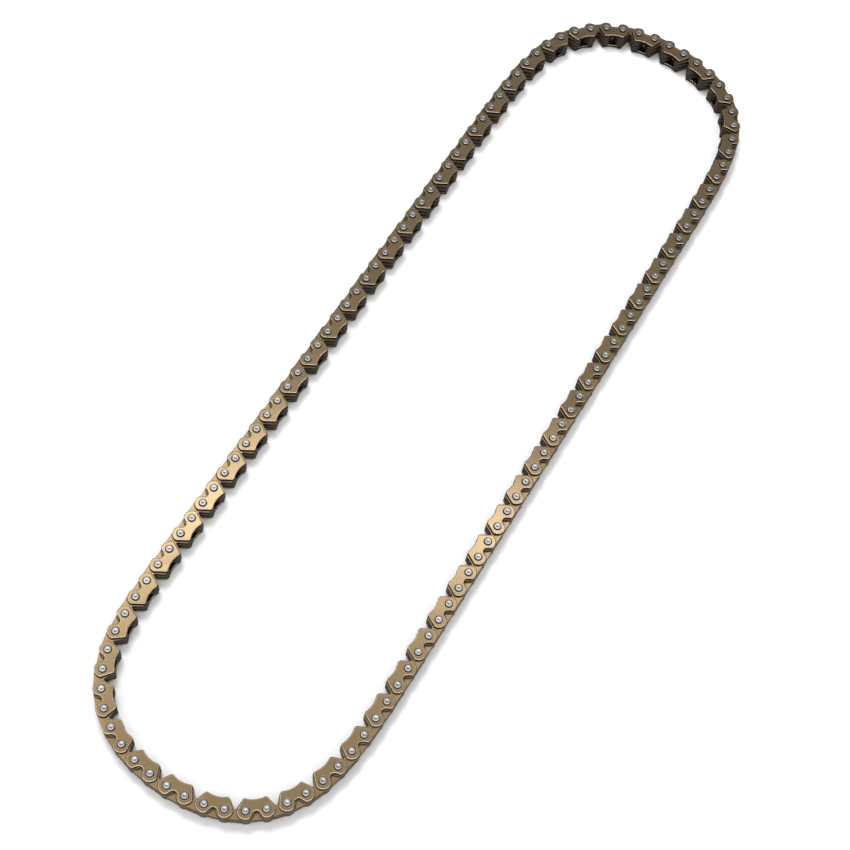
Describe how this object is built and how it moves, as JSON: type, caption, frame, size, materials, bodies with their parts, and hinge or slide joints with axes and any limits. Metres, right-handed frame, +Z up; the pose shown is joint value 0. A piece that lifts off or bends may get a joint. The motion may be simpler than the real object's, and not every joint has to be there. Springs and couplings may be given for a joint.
{
  "type": "timing chain",
  "caption": "Endless silent timing chain: toothed link plates between guide plates on riveted pins, lying as a loop with its teeth inwards.",
  "frame": {"origin": "middle of the loop, in the plane that the lower pin ends rest on", "axes": "+X along the loop's long way, +Y across the loop, +Z up along the pins"},
  "size_m": [0.342, 0.0914, 0.0082],
  "materials": {
    "guide_plate": "bronze-tinted steel, tumbled, light oil film",
    "toothed_plate": "darker bronze-tinted steel, tumbled, light oil film",
    "pin": "bright ground steel with riveted ends"
  },
  "bodies": {
    "run_01": {"guide_plates_01": "guide_plate", "toothed_plates_01": "toothed_plate", "pins_01": "pin"},
    "run_02": {"guide_plates_02": "guide_plate", "toothed_plates_02": "toothed_plate", "pins_02": "pin"},
    "run_03": {"guide_plates_03": "guide_plate", "toothed_plates_03": "toothed_plate", "pins_03": "pin"},
    "run_04": {"guide_plates_04": "guide_plate", "toothed_plates_04": "toothed_plate", "pins_04": "pin"},
    "run_05": {"guide_plates_05": "guide_plate", "toothed_plates_05": "toothed_plate", "pins_05": "pin"},
    "run_06": {"guide_plates_06": "guide_plate", "toothed_plates_06": "toothed_plate", "pins_06": "pin"},
    "run_07": {"guide_plates_07": "guide_plate", "toothed_plates_07": "toothed_plate", "pins_07": "pin"},
    "run_08": {"guide_plates_08": "guide_plate", "toothed_plates_08": "toothed_plate", "pins_08": "pin"},
    "run_09": {"guide_plates_09": "guide_plate", "toothed_plates_09": "toothed_plate", "pins_09": "pin"},
    "run_10": {"guide_plates_10": "guide_plate", "toothed_plates_10": "toothed_plate", "pins_10": "pin"},
    "run_11": {"guide_plates_11": "guide_plate", "toothed_plates_11": "toothed_plate", "pins_11": "pin"},
    "run_12": {"guide_plates_12": "guide_plate", "toothed_plates_12": "toothed_plate", "pins_12": "pin"},
    "run_13": {"guide_plates_13": "guide_plate", "toothed_plates_13": "toothed_plate", "pins_13": "pin"},
    "run_14": {"guide_plates_14": "guide_plate", "toothed_plates_14": "toothed_plate", "pins_14": "pin"},
    "run_15": {"guide_plates_15": "guide_plate", "toothed_plates_15": "toothed_plate", "pins_15": "pin"},
    "run_16": {"guide_plates_16": "guide_plate", "toothed_plates_16": "toothed_plate", "pins_16": "pin"},
    "run_17": {"guide_plates_17": "guide_plate", "toothed_plates_17": "toothed_plate", "pins_17": "pin"},
    "run_18": {"guide_plates_18": "guide_plate", "toothed_plates_18": "toothed_plate", "pins_18": "pin"},
    "run_19": {"guide_plates_19": "guide_plate", "toothed_plates_19": "toothed_plate", "pins_19": "pin"},
    "run_20": {"guide_plates_20": "guide_plate", "toothed_plates_20": "toothed_plate", "pins_20": "pin"}
  },
  "joints": [
    {"name": "pivot_01", "type": "hinge", "parent": "run_01", "child": "run_20", "pos_m": [-0.00284, -0.04282, 0.00412], "axis": [0, 0, -1], "range_deg": [-5, 15]},
    {"name": "pivot_20", "type": "hinge", "parent": "run_20", "child": "run_19", "pos_m": [-0.04729, -0.0429, 0.00412], "axis": [0, 0, -1], "range_deg": [-4.05, 12.14]},
    {"name": "pivot_19", "type": "hinge", "parent": "run_19", "child": "run_18", "pos_m": [-0.08539, -0.04296, 0.00412], "axis": [0, 0, -1], "range_deg": [-1.55, 4.64]},
    {"name": "pivot_18", "type": "hinge", "parent": "run_18", "child": "run_17", "pos_m": [-0.12348, -0.04244, 0.00412], "axis": [0, 0, -1], "range_deg": [-4.64, 1.55]},
    {"name": "pivot_17", "type": "hinge", "parent": "run_17", "child": "run_16", "pos_m": [-0.15834, -0.0295, 0.00412], "axis": [0, 0, -1], "range_deg": [-12.14, 4.05]},
    {"name": "pivot_16", "type": "hinge", "parent": "run_16", "child": "run_15", "pos_m": [-0.16797, 0.00619, 0.00412], "axis": [0, 0, -1], "range_deg": [-15, 5]},
    {"name": "pivot_15", "type": "hinge", "parent": "run_15", "child": "run_14", "pos_m": [-0.14887, 0.03723, 0.00412], "axis": [0, 0, -1], "range_deg": [-12.14, 4.05]},
    {"name": "pivot_14", "type": "hinge", "parent": "run_14", "child": "run_13", "pos_m": [-0.11146, 0.04258, 0.00412], "axis": [0, 0, -1], "range_deg": [-4.64, 1.55]},
    {"name": "pivot_13", "type": "hinge", "parent": "run_13", "child": "run_12", "pos_m": [-0.07336, 0.04269, 0.00412], "axis": [0, 0, -1], "range_deg": [-1.55, 4.64]},
    {"name": "pivot_12", "type": "hinge", "parent": "run_12", "child": "run_11", "pos_m": [-0.03526, 0.04275, 0.00412], "axis": [0, 0, -1], "range_deg": [-4.05, 12.14]},
    {"name": "pivot_02", "type": "hinge", "parent": "run_01", "child": "run_02", "pos_m": [0.03526, -0.04275, 0.00412], "axis": [0, 0, 1], "range_deg": [-4.05, 12.14]},
    {"name": "pivot_03", "type": "hinge", "parent": "run_02", "child": "run_03", "pos_m": [0.07336, -0.04269, 0.00412], "axis": [0, 0, 1], "range_deg": [-1.55, 4.64]},
    {"name": "pivot_04", "type": "hinge", "parent": "run_03", "child": "run_04", "pos_m": [0.11146, -0.04258, 0.00412], "axis": [0, 0, 1], "range_deg": [-4.64, 1.55]},
    {"name": "pivot_05", "type": "hinge", "parent": "run_04", "child": "run_05", "pos_m": [0.14887, -0.03723, 0.00412], "axis": [0, 0, 1], "range_deg": [-12.14, 4.05]},
    {"name": "pivot_06", "type": "hinge", "parent": "run_05", "child": "run_06", "pos_m": [0.16797, -0.00619, 0.00412], "axis": [0, 0, 1], "range_deg": [-15, 5]},
    {"name": "pivot_07", "type": "hinge", "parent": "run_06", "child": "run_07", "pos_m": [0.15834, 0.0295, 0.00412], "axis": [0, 0, 1], "range_deg": [-12.14, 4.05]},
    {"name": "pivot_08", "type": "hinge", "parent": "run_07", "child": "run_08", "pos_m": [0.12348, 0.04244, 0.00412], "axis": [0, 0, 1], "range_deg": [-4.64, 1.55]},
    {"name": "pivot_09", "type": "hinge", "parent": "run_08", "child": "run_09", "pos_m": [0.08539, 0.04296, 0.00412], "axis": [0, 0, 1], "range_deg": [-1.55, 4.64]},
    {"name": "pivot_10", "type": "hinge", "parent": "run_09", "child": "run_10", "pos_m": [0.04729, 0.0429, 0.00412], "axis": [0, 0, 1], "range_deg": [-4.05, 12.14]}
  ],
  "couplings": [
    {"joint": "pivot_20", "follows": "pivot_01", "ratio": 0.80902},
    {"joint": "pivot_19", "follows": "pivot_01", "ratio": 0.30902},
    {"joint": "pivot_18", "follows": "pivot_01", "ratio": -0.30902},
    {"joint": "pivot_17", "follows": "pivot_01", "ratio": -0.80902},
    {"joint": "pivot_16", "follows": "pivot_01", "ratio": -1},
    {"joint": "pivot_15", "follows": "pivot_01", "ratio": -0.80902},
    {"joint": "pivot_14", "follows": "pivot_01", "ratio": -0.30902},
    {"joint": "pivot_13", "follows": "pivot_01", "ratio": 0.30902},
    {"joint": "pivot_12", "follows": "pivot_01", "ratio": 0.80902},
    {"joint": "pivot_02", "follows": "pivot_01", "ratio": 0.80902},
    {"joint": "pivot_03", "follows": "pivot_01", "ratio": 0.30902},
    {"joint": "pivot_04", "follows": "pivot_01", "ratio": -0.30902},
    {"joint": "pivot_05", "follows": "pivot_01", "ratio": -0.80902},
    {"joint": "pivot_06", "follows": "pivot_01", "ratio": -1},
    {"joint": "pivot_07", "follows": "pivot_01", "ratio": -0.80902},
    {"joint": "pivot_08", "follows": "pivot_01", "ratio": -0.30902},
    {"joint": "pivot_09", "follows": "pivot_01", "ratio": 0.30902},
    {"joint": "pivot_10", "follows": "pivot_01", "ratio": 0.80902}
  ]
}
